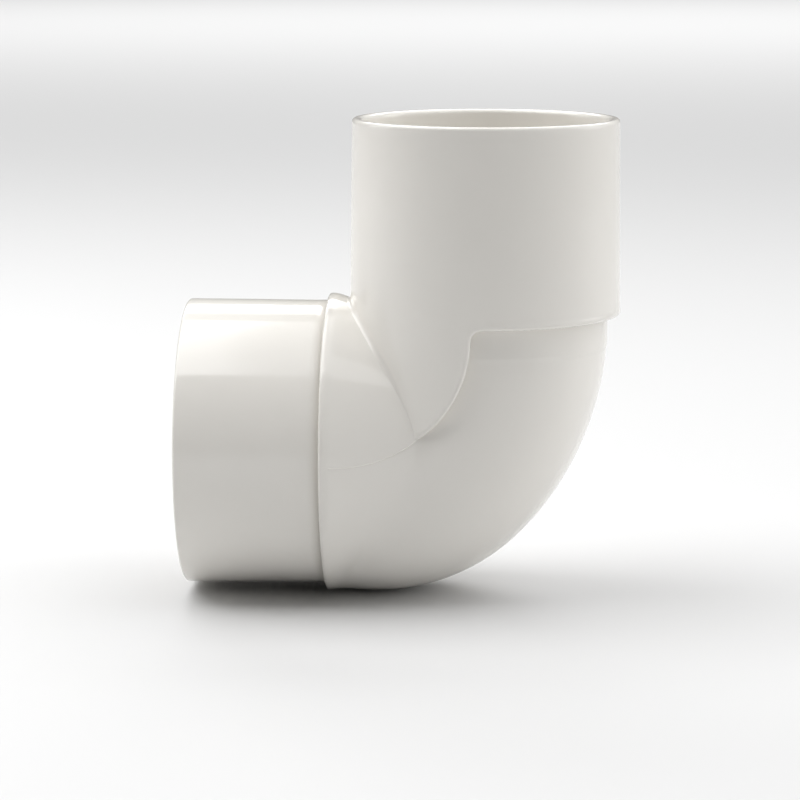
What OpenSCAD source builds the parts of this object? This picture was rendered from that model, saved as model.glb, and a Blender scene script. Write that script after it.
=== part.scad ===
// Ninety-degree pipe elbow for solvent-weld pressure pipe: a socket at one end, a spigot at the
// other. All sizes are in millimetres. The socket's pipe runs along X and leaves towards -X, the
// spigot's pipe stands along Z, and the origin is the centre of the socket's stop, where the end
// of the pipe seats.

/* [Pipe] */
// Outside diameter of the pipe that the fitting serves, and of its spigot
pipe_od = 110; // [90:1:160]
// Wall of that pipe
pipe_wall = 4; // [2.5:0.1:6]
// Gap all round between the pipe and the socket
pipe_gap = 0.15; // [0.05:0.05:0.5]

/* [Socket sleeve] */
// Depth of the socket from its mouth to the stop
socket_depth = 61; // [40:1:90]
// Wall of the socket sleeve
socket_wall = 4.25; // [3.5:0.05:8]
// Lead-in chamfer inside the mouth
socket_lead = 1.5; // [0.5:0.1:2]
// Rounding of the mouth's outer edge, cut as a chamfer
socket_edge = 1; // [0.3:0.1:1.5]

/* [Collar] */
// How far the collar's rim stands in front of the stop
collar_lap = 2.2; // [1:0.1:8]
// How far the collar keeps its full width behind the stop
collar_land = 1; // [0.5:0.1:4]
// How much the collar stands proud of the socket sleeve
collar_step = 2.7; // [1:0.1:6]
// Wall that the collar keeps round the end of the socket sleeve
collar_wall = 4.7; // [3:0.1:6]
// Half-angle of the cone that narrows the collar to the bent tube
collar_taper = 18.7; // [14:0.1:24]
// Thickness of the stop rib
stop_rib = 3; // [2:0.5:6]

/* [Bent tube] */
// Wall of the bent tube
bend_wall = 4.4; // [3:0.1:8]
// Where the tube starts to bend, behind the stop
bend_start = 9.2; // [7:0.1:30]
// Radius of the bend's inside, at its throat
throat_r = 3.2; // [1:0.1:30]
// How much narrower than the tube the collar's cone ends, inside it
cone_tuck = 0.7; // [0.5:0.1:2]
// Upright stretch of the tube between the bend and the root's edge
tube_rise = 12.9; // [8:0.1:30]
// How far the tube reaches up inside the spigot
tube_lap = 11; // [6:0.5:20]
// Lip left on the tube's end, where its bore flares into the spigot's
tube_lip = 1.5; // [0.5:0.1:3]

/* [Spigot root] */
// How much wider the root is than the spigot, on the radius
root_swell = 0.9; // [0.2:0.1:2]
// Step from the root's edge down to the bent tube
root_step = 5.5; // [5:0.1:8]
// Height of the root's full width above its edge
root_land = 7; // [2:0.5:20]
// Height of the cone that narrows the root to the spigot
root_cone = 12.6; // [4:0.2:30]

/* [Root skirt] */
// How far the foot of the skirt's swept edge lies below the socket's axis
skirt_dip = 0.2; // [0:0.1:5]
// Straight stretch between the swept edge and the level of the root's edge
skirt_straight = 3.5; // [0.5:0.1:10]
// Rounding where the swept edge turns into the level one
skirt_corner = 4.5; // [2:0.5:8]

/* [Spigot tube] */
// Length of true diameter that enters the mating socket
spigot_depth = 61; // [40:1:90]
// Wall of the spigot
spigot_wall = 4.2; // [3.5:0.1:8]
// Rounding of the rim's outer edge, cut as a chamfer
spigot_edge = 1; // [0.3:0.1:2]

/* [Hidden] */
$fn = 96;
eps = 0.01;
pvc_white = "#E6E4E0";
pvc_pale = "#E9E7E3";

socket_r = pipe_od / 2 + pipe_gap;
sleeve_r = socket_r + socket_wall;
collar_r = sleeve_r + collar_step;
rebate_r = collar_r - collar_wall;
stop_r = pipe_od / 2 - pipe_wall;

spigot_r = pipe_od / 2;
spigot_bore_r = spigot_r - spigot_wall;
root_r = spigot_r + root_swell;
bend_r = root_r - root_step;
passage_r = bend_r - bend_wall;

// The bent tube runs level with the collar underneath, then turns up about the pivot
tube_drop = collar_r - bend_r;
bend_centre_r = bend_r + throat_r;
pivot_up = bend_centre_r - tube_drop;
stop_to_axis = bend_start + bend_centre_r;

// The cone ends inside the swept tube
cone_end = collar_land + (tube_drop + cone_tuck) / tan(collar_taper);
function cone_r(x) = collar_r - (x - collar_land) * tan(collar_taper);

root_height = pivot_up + tube_rise;
taper_top = root_height + root_land + root_cone;
rim_height = taper_top + spigot_depth;

// The skirt's swept edge is an arc centred above the root's side
skirt_up = root_height - skirt_straight;
skirt_r = skirt_up + skirt_dip;

// Turns what is drawn along +Z to lie along +X, starting at x
module along_x(x) {
    translate([x, 0, 0]) rotate([0, 90, 0]) children();
}

// Outside of the bend: collar, cone, swept tube and the stub inside the spigot
module bend_outside() {
    along_x(-collar_lap) cylinder(r = collar_r, h = collar_lap + collar_land);
    along_x(collar_land)
        cylinder(r1 = collar_r, r2 = cone_r(cone_end), h = cone_end - collar_land);
    translate([0, 0, -tube_drop]) along_x(-collar_lap)
        cylinder(r = bend_r, h = bend_start + collar_lap);
    translate([bend_start, 0, pivot_up]) swept_tube(bend_r);
    translate([stop_to_axis, 0, pivot_up]) cylinder(r = bend_r, h = root_height - pivot_up);
    translate([stop_to_axis, 0, root_height]) cylinder(r = spigot_bore_r, h = tube_lap);
}

// Quarter ring of the given tube radius, from level to upright
module swept_tube(tube_r) {
    rotate([90, 0, 0]) rotate([0, 0, -90])
        rotate_extrude(angle = 90) translate([bend_centre_r, 0]) circle(r = tube_r);
}

// Hollow of the bend behind the stop rib
module bend_hollow() {
    hollow_end = cone_end - bend_wall;
    along_x(-collar_lap - eps) cylinder(r = rebate_r, h = collar_lap + eps);
    along_x(-eps) cylinder(r = stop_r, h = stop_rib + 2 * eps);
    along_x(stop_rib) cylinder(r1 = cone_r(stop_rib) - bend_wall,
                               r2 = cone_r(hollow_end) - bend_wall, h = hollow_end - stop_rib);
    translate([0, 0, -tube_drop]) along_x(stop_rib)
        cylinder(r = passage_r, h = bend_start - stop_rib);
    translate([bend_start, 0, pivot_up]) swept_tube(passage_r);
    translate([stop_to_axis, 0, pivot_up])
        cylinder(r = passage_r, h = root_height + tube_lap - pivot_up);
    flare_r = spigot_bore_r - tube_lip;
    translate([stop_to_axis, 0, root_height + tube_lap + eps - (flare_r - passage_r)])
        cylinder(r1 = passage_r, r2 = flare_r, h = flare_r - passage_r);
}

module socket_sleeve() {
    color(pvc_pale) difference() {
        union() {
            along_x(-socket_depth) cylinder(r1 = sleeve_r - socket_edge, r2 = sleeve_r,
                                            h = socket_edge);
            along_x(-socket_depth + socket_edge)
                cylinder(r = sleeve_r, h = socket_depth - socket_edge - collar_lap);
            along_x(-collar_lap) cylinder(r = rebate_r, h = collar_lap);
        }
        along_x(-socket_depth - eps) cylinder(r = socket_r, h = socket_depth + 2 * eps);
        along_x(-socket_depth - eps) cylinder(r1 = socket_r + socket_lead, r2 = socket_r,
                                              h = socket_lead);
    }
}

module bend_body() {
    color(pvc_white) difference() {
        bend_outside();
        bend_hollow();
    }
}

// Everything in front of the skirt's swept edge and below the root's level edge
module skirt_cut() {
    corner_x = skirt_r - root_r;
    low = -2 * skirt_r;
    translate([stop_to_axis, 2 * root_r, 0]) rotate([90, 0, 0])
        linear_extrude(height = 4 * root_r) difference() {
            translate([-root_r, low]) square([3 * root_r, root_height - low]);
            translate([-root_r, skirt_up]) circle(r = skirt_r);
            difference() {
                translate([corner_x - skirt_corner, root_height - skirt_corner])
                    square([2 * skirt_corner, skirt_corner + eps]);
                translate([corner_x + skirt_corner, root_height - skirt_corner])
                    circle(r = skirt_corner);
            }
        }
}

module spigot_tube() {
    color(pvc_white) difference() {
        translate([stop_to_axis, 0, 0]) union() {
            cylinder(r = root_r, h = root_height + root_land);
            translate([0, 0, root_height + root_land])
                cylinder(r1 = root_r, r2 = spigot_r, h = root_cone);
            translate([0, 0, taper_top])
                cylinder(r = spigot_r, h = spigot_depth - spigot_edge);
            translate([0, 0, rim_height - spigot_edge])
                cylinder(r1 = spigot_r, r2 = spigot_r - spigot_edge, h = spigot_edge);
        }
        translate([stop_to_axis, 0, root_height])
            cylinder(r = spigot_bore_r, h = rim_height - root_height + eps);
        bend_outside();
        skirt_cut();
    }
}

socket_sleeve();
bend_body();
spigot_tube();
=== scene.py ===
"""Visual model of a white PVC pipe elbow: a solvent-weld socket, a bend and an upright spigot.

Sizes are in millimetres until a mesh is made, and in the CAD model's own frame: the socket's pipe
lies along X and leaves towards -X, the spigot stands along Z, and the origin is the centre of the
socket's stop.
"""

import logging
import math
from dataclasses import dataclass
from enum import Enum
from typing import Any, Callable

import bpy
import numpy as np
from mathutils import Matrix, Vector


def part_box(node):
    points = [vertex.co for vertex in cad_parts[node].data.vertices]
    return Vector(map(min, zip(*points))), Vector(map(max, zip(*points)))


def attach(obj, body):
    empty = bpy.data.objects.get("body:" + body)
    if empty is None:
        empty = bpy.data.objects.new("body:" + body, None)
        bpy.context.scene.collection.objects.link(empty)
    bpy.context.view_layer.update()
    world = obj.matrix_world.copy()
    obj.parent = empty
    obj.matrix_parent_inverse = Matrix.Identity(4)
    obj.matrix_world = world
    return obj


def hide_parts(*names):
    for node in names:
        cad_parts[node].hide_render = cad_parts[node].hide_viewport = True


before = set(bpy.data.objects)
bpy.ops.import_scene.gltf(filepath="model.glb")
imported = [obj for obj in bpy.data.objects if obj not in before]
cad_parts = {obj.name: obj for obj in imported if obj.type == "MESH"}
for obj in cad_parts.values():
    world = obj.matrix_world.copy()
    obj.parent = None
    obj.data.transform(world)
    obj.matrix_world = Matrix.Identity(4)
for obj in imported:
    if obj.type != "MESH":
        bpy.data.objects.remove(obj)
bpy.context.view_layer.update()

LOG = logging.getLogger("elbow")
MM = 0.001
ELBOW_MIDDLE = (0.03, 0.0, 0.03)

Field = Callable[[np.ndarray, np.ndarray, np.ndarray], np.ndarray]


class Facing(Enum):
    """Where a light panel faces."""

    DOWN = "straight down"
    ELBOW = "towards the elbow"


# --------------------------------------------------------------------------- small helpers
def linear_rgba(hex_colour: str) -> tuple[float, float, float, float]:
    """Linear colour of an sRGB hex value.

    Args:
        hex_colour: Colour such as "#E6E4E0".

    Returns:
        Red, green, blue and an alpha of one.
    """
    parts = [int(hex_colour[i:i + 2], 16) / 255 for i in (1, 3, 5)]
    linear = [p / 12.92 if p <= 0.04045 else ((p + 0.055) / 1.055) ** 2.4 for p in parts]
    return (linear[0], linear[1], linear[2], 1.0)


def add_node(tree: bpy.types.NodeTree, kind: str, inputs: dict[Any, Any] | None = None,
             **settings: Any) -> bpy.types.Node:
    """Adds one node to a tree.

    Args:
        tree: Node tree that gets the node.
        kind: Blender's name of the node type.
        inputs: Input name or index to a value, or to the output socket linked to it.
        settings: Properties set on the node itself.

    Returns:
        The new node.
    """
    node = tree.nodes.new(kind)
    for name, value in settings.items():
        setattr(node, name, value)
    for key, value in (inputs or {}).items():
        if isinstance(value, bpy.types.NodeSocket):
            tree.links.new(value, node.inputs[key])
        else:
            node.inputs[key].default_value = value
    return node


def set_inputs(modifier: bpy.types.NodesModifier, values: dict[str, Any]) -> None:
    """Sets a Geometry Nodes modifier's inputs by the names that its tree gives them."""
    sockets = {item.name: item.identifier for item in modifier.node_group.interface.items_tree
               if item.in_out == "INPUT"}
    for name, value in values.items():
        modifier[sockets[name]] = value


def bake(blank: bpy.types.Object, name: str) -> bpy.types.Object:
    """Turns an object and its modifiers into a plain mesh piece, and removes the object.

    Args:
        blank: Object that carries the modifiers.
        name: Name of the finished piece.

    Returns:
        The piece, linked to the scene.
    """
    graph = bpy.context.evaluated_depsgraph_get()
    mesh = bpy.data.meshes.new_from_object(blank.evaluated_get(graph))
    bpy.data.objects.remove(blank)
    piece = bpy.data.objects.new(name, mesh)
    bpy.context.scene.collection.objects.link(piece)
    LOG.info("%s made with %d faces", name, len(mesh.polygons))
    return piece


def dress(piece: bpy.types.Object, material: bpy.types.Material, node: str) -> None:
    """Gives a finished piece its material and its place in the assembly.

    Args:
        piece: Visual piece, already where the CAD node is.
        material: Finish of the piece.
        node: CAD node that the piece stands for.
    """
    piece.data.materials.clear()
    piece.data.materials.append(material)
    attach(piece, "root")
    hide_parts(node)
    LOG.info("%s stands for %s with %d faces", piece.name, node, len(piece.data.polygons))


# --------------------------------------------------------------------------- distance fields
def join_round(a: np.ndarray, b: np.ndarray, radius: float | np.ndarray) -> np.ndarray:
    """Union of two distance fields with a concave fillet of that radius."""
    gap = np.hypot(np.maximum(radius - a, 0.0), np.maximum(radius - b, 0.0))
    return np.maximum(radius, np.minimum(a, b)) - gap


def trim_round(a: np.ndarray, b: np.ndarray, radius: float) -> np.ndarray:
    """Intersection of two distance fields with a convex edge of that radius."""
    over = np.hypot(np.maximum(a + radius, 0.0), np.maximum(b + radius, 0.0))
    return np.minimum(-radius, np.maximum(a, b)) + over


def melt(a: np.ndarray, b: np.ndarray, reach: float | np.ndarray) -> np.ndarray:
    """Union of two fields that meet at a shallow angle, smoothed over that reach."""
    near = np.maximum(reach - np.abs(a - b), 0.0)
    return np.minimum(a, b) - near * near / (4.0 * reach)


def ease(value: np.ndarray, low: float, high: float) -> np.ndarray:
    """Smooth step from 0 at low to 1 at high."""
    t = np.clip((value - low) / (high - low), 0.0, 1.0)
    return t * t * (3.0 - 2.0 * t)


@dataclass
class ElbowSizes:
    """Sizes of the elbow in millimetres; from_frame takes the outer ones from the CAD boxes."""

    mouth_x: float
    collar_x: float
    sleeve_r: float
    collar_r: float
    axis_x: float
    root_r: float
    rim_z: float
    stub_z: float
    socket_r: float = 55.15
    rebate_r: float = 57.4
    stop_r: float = 51.0
    stop_rib: float = 3.0
    collar_land: float = 1.0
    collar_taper: float = math.radians(18.7)
    cone_end: float = 37.6
    bend_r: float = 50.4
    bend_wall: float = 4.4
    throat_r: float = 3.2
    spigot_r: float = 55.0
    bore_r: float = 50.8
    root_z: float = 54.8
    skirt_dip: float = 0.2
    skirt_straight: float = 3.5
    skirt_corner: float = 4.5

    @classmethod
    def from_frame(cls) -> "ElbowSizes":
        """Sizes whose outer radii and ends are those of the CAD nodes' boxes."""
        sleeve_low, sleeve_high = (Vector(c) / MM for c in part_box("socket_sleeve"))
        bend_low, bend_high = (Vector(c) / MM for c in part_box("bend_body"))
        spigot_low, spigot_high = (Vector(c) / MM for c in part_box("spigot_tube"))
        return cls(mouth_x=sleeve_low.x, collar_x=bend_low.x, sleeve_r=sleeve_high.y,
                   collar_r=bend_high.y, axis_x=(spigot_low.x + spigot_high.x) / 2,
                   root_r=spigot_high.y, rim_z=spigot_high.z, stub_z=bend_high.z)

    @property
    def drop(self) -> float:
        """How far the level tube's centre lies below the socket's axis."""
        return self.collar_r - self.bend_r

    @property
    def sweep_r(self) -> float:
        """Radius of the bent tube's centre line."""
        return self.bend_r + self.throat_r

    @property
    def pivot(self) -> tuple[float, float]:
        """X and Z of the line that the tube bends about."""
        return (self.axis_x - self.sweep_r, self.sweep_r - self.drop)


@dataclass
class BendForm:
    """Distance fields of the bend: its collar, cone, swept tube and hollow."""

    sizes: ElbowSizes
    rim_round: float = 1.0
    shoulder_reach: float = 0.6
    throat_reach: float = 0.3
    flank_reach: float = 2.6
    flank_foot: tuple[float, float] = (-45.0, -25.0)
    flank_top: tuple[float, float] = (-12.0, 4.0)
    inner_fillet: float = 0.5
    edge_round: float = 0.7
    flare_depth: float = 3.3
    bulge: float = 0.45
    sway: float = 1.75
    stub_gap: float = 0.1

    def swept(self, x: np.ndarray, y: np.ndarray, z: np.ndarray, radius: float,
              full: float = 0.0) -> np.ndarray:
        """Tube that runs level, turns about the pivot and stands up.

        Args:
            x: X of the points.
            y: Y of the points.
            z: Z of the points.
            radius: Radius of the tube.
            full: 1 to add the slight fullness of the moulded outside, 0 to leave it out.

        Returns:
            Distance to the tube's surface, below zero inside.
        """
        s = self.sizes
        dx, dz = x - s.pivot[0], z - s.pivot[1]
        reach = np.hypot(dx, dz)
        level = np.hypot(y, z + s.drop)
        upright = np.hypot(x - s.axis_x, y)
        turning = np.hypot(reach - s.sweep_r, y)
        away = np.where(dx < 0, np.where(dz < 0, level, np.minimum(level, upright)),
                        np.where(dz < 0, turning, upright))
        turn = np.clip(np.arctan2(dx, -dz), 0.0, math.pi / 2)
        outward = np.clip((reach - s.sweep_r) / s.bend_r, 0.0, 1.0) ** 2
        swell = (self.bulge * np.sin(2 * turn) + self.sway * np.sin(4 * turn)) * outward
        return away - radius - full * swell

    def cone(self, x: np.ndarray, y: np.ndarray, z: np.ndarray, inset: float) -> np.ndarray:
        """Collar that narrows to the tube, inset from its outside."""
        s = self.sizes
        rho = np.hypot(y, z) + inset
        slope = (rho - s.collar_r + (x - s.collar_land) * math.tan(s.collar_taper))
        return -melt(s.collar_r - rho, -slope * math.cos(s.collar_taper), self.shoulder_reach)

    def outside(self, x: np.ndarray, y: np.ndarray, z: np.ndarray) -> np.ndarray:
        """Outside of the bend, with the stub that reaches up inside the spigot."""
        s = self.sizes
        flank = ease(z, *self.flank_foot) * (1.0 - ease(z, *self.flank_top))
        reach = self.throat_reach + self.flank_reach * flank
        cone = np.maximum(self.cone(x, y, z, 0.0), x - s.cone_end)
        tube = np.maximum(self.swept(x, y, z, s.bend_r, 1.0), z - s.root_z)
        body = trim_round(melt(cone, tube, reach), s.collar_x - x, self.rim_round)
        stub = np.maximum(np.hypot(x - s.axis_x, y) - s.bore_r + self.stub_gap, z - s.stub_z)
        return np.minimum(body, np.maximum(stub, s.pivot[1] - z))

    def hollow(self, x: np.ndarray, y: np.ndarray, z: np.ndarray) -> np.ndarray:
        """Way through the bend: rebate, stop, cone, swept passage and flare."""
        s = self.sizes
        rho = np.hypot(y, z)
        passage_r = s.bend_r - s.bend_wall
        rebate = np.maximum(rho - s.rebate_r, x - self.stub_gap)
        stop = np.maximum(rho - s.stop_r, x - s.stop_rib - s.bend_wall)
        behind = s.stop_rib - x
        cone = np.maximum(self.cone(x, y, z, s.bend_wall),
                          np.maximum(behind, x - s.cone_end + s.bend_wall))
        passage = np.maximum(self.swept(x, y, z, passage_r), behind)
        widening = np.maximum(z - s.stub_z + self.flare_depth, 0.0)
        flare = np.hypot(x - s.axis_x, y) - passage_r - widening
        flare = np.maximum(flare * math.cos(math.pi / 4), s.pivot[1] - z)
        way = join_round(np.minimum(cone, stop), passage, self.inner_fillet)
        return np.minimum(np.minimum(way, rebate), flare)

    def solid(self, x: np.ndarray, y: np.ndarray, z: np.ndarray) -> np.ndarray:
        """Wall of the bend: its outside less its hollow."""
        return trim_round(self.outside(x, y, z), -self.hollow(x, y, z), self.edge_round)


@dataclass
class SpigotForm:
    """Distance fields of the spigot: a drafted tube with a rounded rim and a swept root skirt."""

    sizes: ElbowSizes
    bend: BendForm
    rim_outer: float = 1.3
    rim_inner: float = 1.8
    skirt_round: float = 1.2
    bead_height: float = 0.35
    bead_back: float = 1.5
    bead_width: float = 0.75
    crotch_fillet: float = 2.2
    crotch_sunk: float = 0.3
    least_fillet: float = 0.3
    fillet_rise: tuple[float, float] = (12.0, 45.0)
    fillet_spread: float = 1.4
    weld_depth: float = 3.0

    def keep(self, x: np.ndarray, z: np.ndarray) -> np.ndarray:
        """Side view of the skirt: above the root's level edge or behind the swept one."""
        s = self.sizes
        skirt_up = s.root_z - s.skirt_straight
        skirt_r = skirt_up + s.skirt_dip
        back = x - s.axis_x + s.root_r
        behind = np.hypot(back, np.minimum(z - skirt_up, 0.0)) - skirt_r
        return join_round(s.root_z - z, behind, s.skirt_corner)

    def solid(self, x: np.ndarray, y: np.ndarray, z: np.ndarray) -> np.ndarray:
        """Wall of the spigot, sunk a little into the bend that it is moulded on."""
        s = self.sizes
        out = np.hypot(x - s.axis_x, y)
        draft = np.clip((z - s.root_z) / (s.rim_z - s.root_z), 0.0, 1.0)
        side = out - s.root_r + (s.root_r - s.spigot_r) * draft
        bend = self.bend.outside(x, y, z)
        fillet = self.least_fillet + self.crotch_fillet * ease(z, *self.fillet_rise)
        saddle = join_round(side, bend + self.crotch_sunk, fillet)
        saddle = np.maximum(saddle, out - s.root_r - self.fillet_spread * fillet)
        edge = self.keep(x, z)
        bead = np.exp(-((edge + self.bead_back) / self.bead_width) ** 2)
        skirt = trim_round(saddle - self.bead_height * bead, edge, self.skirt_round)
        rimmed = trim_round(skirt, z - s.rim_z, self.rim_outer)
        bore = np.maximum(out - s.bore_r, s.root_z - z)
        return trim_round(rimmed, -np.minimum(bore, bend + self.weld_depth), self.rim_inner)


@dataclass
class FieldMesher:
    """Turns a distance field into a closed mesh of even quads."""

    step: float = 1.0
    settle_rounds: int = 4
    slope_step: float = 0.02
    lead_in: float = 2.37
    spare_cells: int = 6
    relax: float = 0.6

    def gradient(self, field: Field, p: np.ndarray) -> np.ndarray:
        """Slope of the field at each point, by central differences."""
        h = self.slope_step
        slope = np.empty_like(p)
        for axis in range(3):
            ahead, back = p.copy(), p.copy()
            ahead[:, axis] += h
            back[:, axis] -= h
            slope[:, axis] = (field(*ahead.T) - field(*back.T)) / (2 * h)
        return slope

    def settle(self, field: Field, p: np.ndarray, rounds: int = 3) -> np.ndarray:
        """Moves points onto the surface where the field is zero, half a cell at most each round."""
        for _ in range(rounds):
            slope = self.gradient(field, p)
            size = np.maximum((slope ** 2).sum(axis=1), 0.25)
            move = -(field(*p.T) / size)[:, None] * slope
            length = np.linalg.norm(move, axis=1, keepdims=True)
            p = p + move * np.minimum(1.0, 0.5 * self.step / np.maximum(length, 1e-9))
        return p

    def quads(self, value: np.ndarray, low: np.ndarray) -> tuple[np.ndarray, np.ndarray]:
        """Surface nets of a sampled field: one point in each cell that the surface crosses.

        Args:
            value: Field on a regular grid.
            low: Place of the grid's first sample.

        Returns:
            Points, and quads as indices into them, facing away from the inside.
        """
        inside = value < 0
        cells = tuple(n - 1 for n in value.shape)
        total = np.zeros(cells + (3,))
        count = np.zeros(cells)
        for axis in range(3):
            a = np.take(value, range(value.shape[axis] - 1), axis)
            b = np.take(value, range(1, value.shape[axis]), axis)
            cross = (a < 0) != (b < 0)
            t = np.where(cross, a / np.where(cross, a - b, 1.0), 0.0)
            u, v = [i for i in range(3) if i != axis]
            for du in (0, 1):
                for dv in (0, 1):
                    cut = [slice(None)] * 3
                    cut[u] = slice(du, du + cells[u])
                    cut[v] = slice(dv, dv + cells[v])
                    hit, along = cross[tuple(cut)], t[tuple(cut)]
                    count += hit
                    total[..., axis] += hit * along
                    total[..., u] += hit * du
                    total[..., v] += hit * dv
        used = count > 0
        index = np.full(cells, -1, dtype=np.int64)
        index[used] = np.arange(int(used.sum()))
        place = np.argwhere(used) + total[used] / count[used][:, None]
        faces = []
        for axis in range(3):
            u, v = (axis + 1) % 3, (axis + 2) % 3
            core = [slice(1, -1)] * 3
            core[axis] = slice(0, cells[axis])
            ahead = list(core)
            ahead[axis] = slice(1, cells[axis] + 1)
            first, second = inside[tuple(core)], inside[tuple(ahead)]
            edges = np.argwhere(first != second)
            leaving = first[first != second]
            edges[:, u] += 1
            edges[:, v] += 1
            ring = []
            for du, dv in ((1, 1), (0, 1), (0, 0), (1, 0)):
                cell = edges.copy()
                cell[:, u] -= du
                cell[:, v] -= dv
                ring.append(index[tuple(cell.T)])
            quad = np.stack(ring, axis=1)
            faces.append(np.where(leaving[:, None], quad, quad[:, ::-1]))
        return low + place * self.step, np.concatenate(faces)

    def build(self, name: str, field: Field, low: Vector, high: Vector) -> bpy.types.Object:
        """Meshes a field and links the piece to the scene.

        Args:
            name: Name of the piece.
            field: Distance field in millimetres.
            low: Lowest corner of the piece.
            high: Highest corner of the piece.

        Returns:
            The piece, with its place in its mesh, in metres.
        """
        first = np.array(low) - self.lead_in * self.step
        cells = [math.ceil((high[i] - low[i]) / self.step) + self.spare_cells for i in range(3)]
        axes = [first[i] + np.arange(cells[i]) * self.step for i in range(3)]
        points, quads = self.quads(field(*np.meshgrid(*axes, indexing="ij")), first)
        sides = np.concatenate([quads[:, [i, (i + 1) % 4]] for i in range(4)])
        degree = np.bincount(sides[:, 0], minlength=len(points))
        points = self.settle(field, points)
        for _ in range(self.settle_rounds):
            mean = np.stack([np.bincount(sides[:, 0], points[sides[:, 1], i], len(points))
                             for i in range(3)], axis=1) / degree[:, None]
            normal = self.gradient(field, points)
            normal /= np.maximum(np.linalg.norm(normal, axis=1, keepdims=True), 1e-9)
            shift = mean - points
            shift -= (shift * normal).sum(axis=1, keepdims=True) * normal
            points = self.settle(field, points + self.relax * shift, 1)
        points = np.clip(self.settle(field, points), np.array(low), np.array(high))
        mesh = bpy.data.meshes.new(name)
        mesh.from_pydata((points * MM).tolist(), [], quads.tolist())
        mesh.validate()
        mesh.shade_smooth()
        piece = bpy.data.objects.new(name, mesh)
        bpy.context.scene.collection.objects.link(piece)
        return piece


# --------------------------------------------------------------------------- finishes
@dataclass(frozen=True)
class MouldedPvc:
    """Rigid PVC, injection moulded against polished steel.

    It gives the eye a warm white under a clear gloss: soft edges to every reflection, a very
    slight ripple from uneven cooling, and a cloudiness of the colour that only shows as a hint.
    """

    name: str = "moulded_white_pvc"
    colour: str = "#F0EDE7"
    cloud_colour: str = "#EDEAE4"
    ior: float = 1.53
    roughness: float = 0.1
    cloud_mm: float = 28.0
    ripple_mm: float = 9.0
    ripple_height: float = 0.012
    grain_mm: float = 0.5
    grain_height: float = 0.0012

    def material(self) -> bpy.types.Material:
        """Builds the shader on Object coordinates."""
        material = bpy.data.materials.new(self.name)
        material.use_nodes = True
        tree = material.node_tree
        tree.nodes.clear()
        place = add_node(tree, "ShaderNodeTexCoord").outputs["Object"]
        cloud = add_node(tree, "ShaderNodeTexNoise",
                         {"Vector": place, "Scale": 1 / (self.cloud_mm * MM), "Detail": 3.0})
        tint = add_node(tree, "ShaderNodeMix",
                        {"Factor": cloud.outputs["Fac"], "A": linear_rgba(self.colour),
                         "B": linear_rgba(self.cloud_colour)}, data_type="RGBA")
        ripple = add_node(tree, "ShaderNodeTexNoise",
                          {"Vector": place, "Scale": 1 / (self.ripple_mm * MM), "Detail": 1.0})
        grain = add_node(tree, "ShaderNodeTexNoise",
                         {"Vector": place, "Scale": 1 / (self.grain_mm * MM), "Detail": 2.0})
        waves = add_node(tree, "ShaderNodeBump",
                         {"Height": ripple.outputs["Fac"], "Strength": 1.0,
                          "Distance": self.ripple_height * MM})
        relief = add_node(tree, "ShaderNodeBump",
                          {"Height": grain.outputs["Fac"], "Strength": 1.0,
                           "Distance": self.grain_height * MM, "Normal": waves.outputs["Normal"]})
        shader = add_node(tree, "ShaderNodeBsdfPrincipled",
                          {"Base Color": tint.outputs["Result"], "Roughness": self.roughness,
                           "IOR": self.ior, "Normal": relief.outputs["Normal"]})
        add_node(tree, "ShaderNodeOutputMaterial", {"Surface": shader.outputs["BSDF"]})
        return material


@dataclass(frozen=True)
class StudioPaper:
    """Seamless paper sweep: matt, pale and without a pattern."""

    name: str = "studio_paper"
    colour: str = "#D6D6D6"
    roughness: float = 0.6

    def material(self) -> bpy.types.Material:
        """Builds the paper's shader."""
        material = bpy.data.materials.new(self.name)
        material.use_nodes = True
        shader = material.node_tree.nodes["Principled BSDF"]
        shader.inputs["Base Color"].default_value = linear_rgba(self.colour)
        shader.inputs["Roughness"].default_value = self.roughness
        return material


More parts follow.
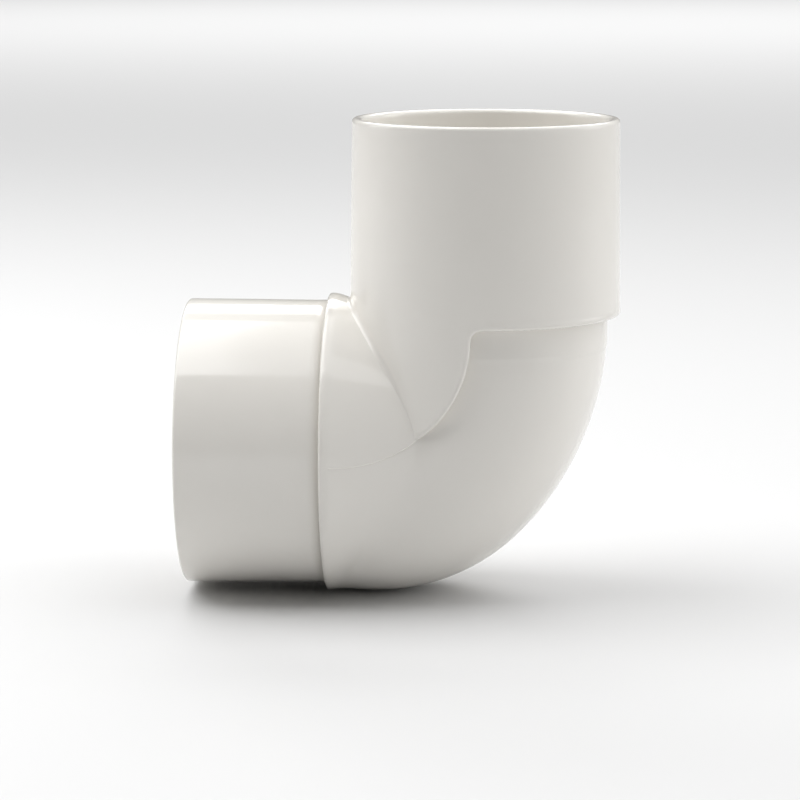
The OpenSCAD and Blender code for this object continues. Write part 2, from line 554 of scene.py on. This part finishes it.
# --------------------------------------------------------------------------- sub-assemblies
@dataclass
class SocketSleeve:
    """Socket for the pipe: one turned profile, closed round the socket's axis."""

    sizes: ElbowSizes
    mouth_outer_round: float = 1.3
    mouth_inner_round: float = 1.8
    end_round: float = 0.4
    sides: int = 224
    arc_points: int = 7
    run_steps: int = 12
    draft: float = 0.3

    def corner(self, x: float, r: float, radius: float, start: float) -> list[tuple[float, float]]:
        """Points of one rounded corner of the profile.

        Args:
            x: X of the arc's centre.
            r: Distance of the arc's centre from the axis.
            radius: Radius of the arc.
            start: Angle at which the quarter arc starts, in radians.

        Returns:
            X and radius of each point, a quarter turn anticlockwise.
        """
        turns = [start + math.pi / 2 * i / (self.arc_points - 1) for i in range(self.arc_points)]
        return [(x + radius * math.cos(a), r + radius * math.sin(a)) for a in turns]

    def profile(self) -> list[tuple[float, float]]:
        """Closed outline of the wall as X and radius, anticlockwise from the outer mouth edge."""
        s, o, i, e = self.sizes, self.mouth_outer_round, self.mouth_inner_round, self.end_round
        outline = self.corner(s.mouth_x + o, s.sleeve_r - o, o, math.pi / 2)
        outline += self.corner(s.mouth_x + i, s.socket_r + i, i, math.pi)
        steps = self.run_steps
        outline += [(s.mouth_x + i - (s.mouth_x + i) * k / steps, s.socket_r)
                    for k in range(1, steps)]
        outline += [(-e, s.socket_r), (0.0, s.socket_r + e)]
        outline += self.corner(-e, s.rebate_r - e, e, 0.0)
        outline += [(s.collar_x, s.rebate_r), (s.collar_x, s.sleeve_r - self.draft)]
        run = s.collar_x - s.mouth_x - o
        outline += [(s.collar_x - run * k / steps, s.sleeve_r - self.draft * (1 - k / steps))
                    for k in range(1, steps)]
        return outline

    def lathe(self, material: bpy.types.Material) -> bpy.types.GeometryNodeTree:
        """Geometry Nodes tree that turns a profile's points round X.

        Args:
            material: Finish given to the turned surface.

        Returns:
            Tree with the inputs Geometry, Points, Sides and Finish.
        """
        tree = bpy.data.node_groups.new("turned_profile", "GeometryNodeTree")
        face = tree.interface
        face.new_socket("Geometry", in_out="INPUT", socket_type="NodeSocketGeometry")
        face.new_socket("Points", in_out="INPUT", socket_type="NodeSocketInt")
        face.new_socket("Sides", in_out="INPUT", socket_type="NodeSocketInt")
        face.new_socket("Finish", in_out="INPUT", socket_type="NodeSocketMaterial")
        face.new_socket("Geometry", in_out="OUTPUT", socket_type="NodeSocketGeometry")
        given = add_node(tree, "NodeGroupInput").outputs

        def maths(operation: str, a: Any, b: Any = 0.0) -> bpy.types.NodeSocket:
            """One arithmetic step of the tree."""
            return add_node(tree, "ShaderNodeMath", {0: a, 1: b}, operation=operation).outputs[0]

        rows = maths("ADD", given["Points"], 1.0)
        columns = maths("ADD", given["Sides"], 1.0)
        sheet = add_node(tree, "GeometryNodeMeshGrid", {"Size X": 1.0, "Size Y": 1.0,
                                                        "Vertices X": rows, "Vertices Y": columns})
        spot = add_node(tree, "ShaderNodeSeparateXYZ",
                        {0: add_node(tree, "GeometryNodeInputPosition").outputs[0]}).outputs
        along = maths("MULTIPLY", maths("ADD", spot["X"], 0.5), given["Points"])
        number = maths("MODULO", maths("ROUND", along), given["Points"])
        turn = maths("MULTIPLY", maths("ADD", spot["Y"], 0.5), 2 * math.pi)
        outline = add_node(tree, "GeometryNodeSampleIndex",
                           {"Geometry": given["Geometry"], "Index": number,
                            "Value": add_node(tree, "GeometryNodeInputPosition").outputs[0]},
                           data_type="FLOAT_VECTOR", domain="POINT", clamp=True)
        point = add_node(tree, "ShaderNodeSeparateXYZ", {0: outline.outputs["Value"]}).outputs
        turned = add_node(tree, "ShaderNodeCombineXYZ",
                          {"X": point["X"],
                           "Y": maths("MULTIPLY", point["Y"], maths("COSINE", turn)),
                           "Z": maths("MULTIPLY", point["Y"], maths("SINE", turn))})
        moved = add_node(tree, "GeometryNodeSetPosition",
                         {"Geometry": sheet.outputs["Mesh"], "Position": turned.outputs[0]})
        closed = add_node(tree, "GeometryNodeMergeByDistance",
                          {"Geometry": moved.outputs[0], "Distance": 0.02 * MM})
        smooth = add_node(tree, "GeometryNodeSetShadeSmooth", {"Geometry": closed.outputs[0]})
        whole = add_node(tree, "GeometryNodeRealizeInstances", {"Geometry": smooth.outputs[0]})
        finish = add_node(tree, "GeometryNodeSetMaterial",
                          {"Geometry": whole.outputs[0], "Material": given["Finish"]})
        add_node(tree, "NodeGroupOutput", {0: finish.outputs[0]})
        return tree

    def build(self, material: bpy.types.Material) -> bpy.types.Object:
        """Turns the profile and returns the sleeve as a plain mesh piece."""
        outline = self.profile()
        mesh = bpy.data.meshes.new("socket_profile")
        edges = [(i, (i + 1) % len(outline)) for i in range(len(outline))]
        mesh.from_pydata([(x * MM, r * MM, 0.0) for x, r in outline], edges, [])
        blank = bpy.data.objects.new("socket_blank", mesh)
        bpy.context.scene.collection.objects.link(blank)
        modifier = blank.modifiers.new("turning", "NODES")
        modifier.node_group = self.lathe(material)
        set_inputs(modifier, {"Points": len(outline), "Sides": self.sides, "Finish": material})
        piece = bake(blank, "moulded_socket")
        dress(piece, material, "socket_sleeve")
        return piece


@dataclass
class BendBody:
    """Bend behind the socket: collar, cone and swept tube in one moulding."""

    form: BendForm
    mesher: FieldMesher
    outer_margin: float = 2.0

    def build(self, material: bpy.types.Material) -> bpy.types.Object:
        """Meshes the bend and dresses it."""
        low, high = (Vector(corner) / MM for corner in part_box("bend_body"))
        high.x += self.outer_margin
        piece = self.mesher.build("moulded_bend", self.form.solid, low, high)
        dress(piece, material, "bend_body")
        return piece


@dataclass
class SpigotTube:
    """Upright spigot with its rounded rim and its swept root skirt."""

    form: SpigotForm
    mesher: FieldMesher
    low_margin: tuple[float, float, float] = (4.0, 0.0, 6.0)

    def build(self, material: bpy.types.Material) -> bpy.types.Object:
        """Meshes the spigot and dresses it."""
        low, high = (Vector(corner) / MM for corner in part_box("spigot_tube"))
        low -= Vector(self.low_margin)
        piece = self.mesher.build("moulded_spigot", self.form.solid, low, high)
        dress(piece, material, "spigot_tube")
        return piece


@dataclass
class MouldingLine:
    """Fine raised line left by the mould on each side of the bend, from the collar to the skirt."""

    form: BendForm
    bead_r: float = 0.34
    sunk: float = 0.1
    end_turn: float = 0.62
    start_gap: float = 1.0
    points: int = 64
    search_rounds: int = 32

    def route(self, side: float) -> list[tuple[float, float, float]]:
        """Points of the line on one side of the bend.

        Args:
            side: -1 for the side at low Y, 1 for the other.

        Returns:
            Points on the bend's surface, in metres.
        """
        s = self.form.sizes
        centre_x, centre_z = s.axis_x - s.root_r, s.root_z - s.skirt_straight
        sweep = centre_z + s.skirt_dip
        straight = np.linspace(s.collar_land + self.start_gap, centre_x, self.points // 8)
        turns = np.linspace(0.0, self.end_turn, self.points)[1:]
        x = np.concatenate([straight, centre_x + sweep * np.sin(turns)])
        z = np.concatenate([0.0 * straight - s.skirt_dip, centre_z - sweep * np.cos(turns)])
        inner, outer = np.zeros_like(x), np.full_like(x, 1.2 * s.collar_r)
        for _ in range(self.search_rounds):
            middle = (inner + outer) / 2
            within = self.form.outside(x, side * middle, z) < 0
            inner, outer = np.where(within, middle, inner), np.where(within, outer, middle)
        y = side * (inner - self.sunk)
        return [tuple(point) for point in (np.stack([x, y, z], axis=1) * MM).tolist()]

    def bead(self) -> bpy.types.GeometryNodeTree:
        """Geometry Nodes tree that sweeps a round bead along a line; inputs Radius and Finish."""
        tree = bpy.data.node_groups.new("swept_bead", "GeometryNodeTree")
        face = tree.interface
        face.new_socket("Geometry", in_out="INPUT", socket_type="NodeSocketGeometry")
        face.new_socket("Radius", in_out="INPUT", socket_type="NodeSocketFloat")
        face.new_socket("Finish", in_out="INPUT", socket_type="NodeSocketMaterial")
        face.new_socket("Geometry", in_out="OUTPUT", socket_type="NodeSocketGeometry")
        given = add_node(tree, "NodeGroupInput").outputs
        line = add_node(tree, "GeometryNodeMeshToCurve", {0: given["Geometry"]})
        ring = add_node(tree, "GeometryNodeCurvePrimitiveCircle",
                        {"Resolution": 8, "Radius": given["Radius"]})
        swept = add_node(tree, "GeometryNodeCurveToMesh",
                         {"Curve": line.outputs[0], "Profile Curve": ring.outputs[0],
                          "Fill Caps": True})
        smooth = add_node(tree, "GeometryNodeSetShadeSmooth", {"Geometry": swept.outputs[0]})
        whole = add_node(tree, "GeometryNodeRealizeInstances", {"Geometry": smooth.outputs[0]})
        finish = add_node(tree, "GeometryNodeSetMaterial",
                          {"Geometry": whole.outputs[0], "Material": given["Finish"]})
        add_node(tree, "NodeGroupOutput", {0: finish.outputs[0]})
        return tree

    def build(self, material: bpy.types.Material) -> bpy.types.Object:
        """Sweeps the bead along both sides and returns it as a plain mesh piece."""
        near, far = self.route(-1.0), self.route(1.0)
        edges = [(i, i + 1) for i in range(len(near) - 1)]
        edges += [(len(near) + a, len(near) + b) for a, b in edges]
        mesh = bpy.data.meshes.new("moulding_line_route")
        mesh.from_pydata(near + far, edges, [])
        blank = bpy.data.objects.new("moulding_line_route", mesh)
        bpy.context.scene.collection.objects.link(blank)
        modifier = blank.modifiers.new("sweeping", "NODES")
        modifier.node_group = self.bead()
        set_inputs(modifier, {"Radius": self.bead_r * MM, "Finish": material})
        piece = bake(blank, "moulding_line")
        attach(piece, "root")
        return piece


class Brightness(Enum):
    """Power of a light panel for each square metre of it, in watts."""

    KEY = 12.0
    FILL = 4.0


@dataclass(frozen=True)
class Panel:
    """One soft light panel: centre and size in metres, brightness and where it faces."""

    name: str
    place: tuple[float, float, float]
    size: tuple[float, float]
    brightness: Brightness
    facing: Facing = Facing.DOWN

    def hang(self) -> bpy.types.Object:
        """Adds the panel to the scene and turns it to face its way."""
        data = bpy.data.lights.new(self.name, "AREA")
        data.shape = "RECTANGLE"
        data.size, data.size_y = self.size
        data.energy = self.brightness.value * self.size[0] * self.size[1]
        lamp = bpy.data.objects.new(self.name, data)
        lamp.location = self.place
        aim = Vector(ELBOW_MIDDLE)
        if self.facing is Facing.DOWN:
            aim = Vector((self.place[0], self.place[1], 0.0))
        lamp.rotation_euler = (aim - Vector(self.place)).to_track_quat("-Z", "Y").to_euler()
        bpy.context.scene.collection.objects.link(lamp)
        return lamp


@dataclass
class Studio:
    """Camera, paper sweep, panels of light and the room's faint glow."""

    sizes: ElbowSizes
    sensor_mm: float = 36.0
    lens_mm: float = 133.16
    eye_mm: tuple[float, float, float] = (91.9, -1217.0, 223.4)
    pitch_down: float = 0.1673
    yaw_left: float = 0.0529
    floor_size: float = 60.0
    window_side: tuple[float, float, float] = (1.0, 0.0, 0.0)
    glow: float = 1.0
    roof_size: tuple[float, float] = (2.0, 1.8)
    far_size: tuple[float, float] = (8.0, 4.0)
    bank_size: tuple[float, float] = (0.9, 1.3)

    def camera(self) -> bpy.types.Object:
        """Adds the camera and makes it the scene's own."""
        data = bpy.data.cameras.new("camera")
        data.sensor_width = self.sensor_mm
        data.lens = self.lens_mm
        data.clip_end = 100.0
        camera = bpy.data.objects.new("camera", data)
        camera.location = Vector(self.eye_mm) * MM
        level = math.cos(self.pitch_down)
        gaze = Vector((-math.sin(self.yaw_left) * level, math.cos(self.yaw_left) * level,
                       -math.sin(self.pitch_down)))
        camera.rotation_euler = gaze.to_track_quat("-Z", "Y").to_euler()
        bpy.context.scene.collection.objects.link(camera)
        bpy.context.scene.camera = camera
        return camera

    def floor(self, material: bpy.types.Material) -> bpy.types.Object:
        """Lays the paper on which the elbow rests."""
        half, z = self.floor_size / 2, -self.sizes.collar_r * MM
        mesh = bpy.data.meshes.new("paper_floor")
        corners = [(-half, -half, z), (half, -half, z), (half, half, z), (-half, half, z)]
        mesh.from_pydata(corners, [], [(0, 1, 2, 3)])
        mesh.materials.append(material)
        floor = bpy.data.objects.new("paper_floor", mesh)
        bpy.context.scene.collection.objects.link(floor)
        return floor

    def lights(self) -> None:
        """Hangs a bright roof at the left and far back, dimmer fill, and a window's glow."""
        key, fill = Brightness.KEY, Brightness.FILL
        Panel("roof_left", (-1.2, 0.075, 1.6), self.roof_size, key).hang()
        Panel("roof_right", (0.8, 0.075, 1.6), self.roof_size, fill).hang()
        Panel("roof_far", (0.0, 6.0, 4.0), self.far_size, key).hang()
        Panel("bank_left", (-1.8, 0.4, 0.7), self.bank_size, fill, Facing.ELBOW).hang()
        Panel("bank_right", (1.8, 0.4, 0.7), self.bank_size, fill, Facing.ELBOW).hang()
        world = bpy.data.worlds.new("room")
        world.use_nodes = True
        bpy.context.scene.world = world
        tree = world.node_tree
        way = add_node(tree, "ShaderNodeTexCoord").outputs["Generated"]
        facing = add_node(tree, "ShaderNodeVectorMath", {0: way, 1: self.window_side},
                          operation="DOT_PRODUCT").outputs["Value"]
        bright = add_node(tree, "ShaderNodeMath", {0: facing, 1: 0.0}, operation="MAXIMUM")
        glow = add_node(tree, "ShaderNodeMath", {0: bright.outputs[0], 1: self.glow},
                        operation="MULTIPLY")
        sky = tree.nodes["Background"]
        sky.inputs["Color"].default_value = linear_rgba("#FFFFFF")
        tree.links.new(glow.outputs[0], sky.inputs["Strength"])


def main() -> None:
    """Builds the elbow and its studio, and reports each piece."""
    logging.basicConfig(level=logging.INFO, format="%(name)s: %(message)s")
    sizes = ElbowSizes.from_frame()
    studio = Studio(sizes)
    studio.camera()
    studio.floor(StudioPaper().material())
    studio.lights()
    pvc = MouldedPvc().material()
    SocketSleeve(sizes).build(pvc)
    bend = BendForm(sizes)
    BendBody(bend, FieldMesher(step=1.12)).build(pvc)
    MouldingLine(bend).build(pvc)
    SpigotTube(SpigotForm(sizes, bend), FieldMesher(step=0.96)).build(pvc)
    bpy.context.scene.view_settings.view_transform = "Standard"


if __name__ == "__main__":
    main()
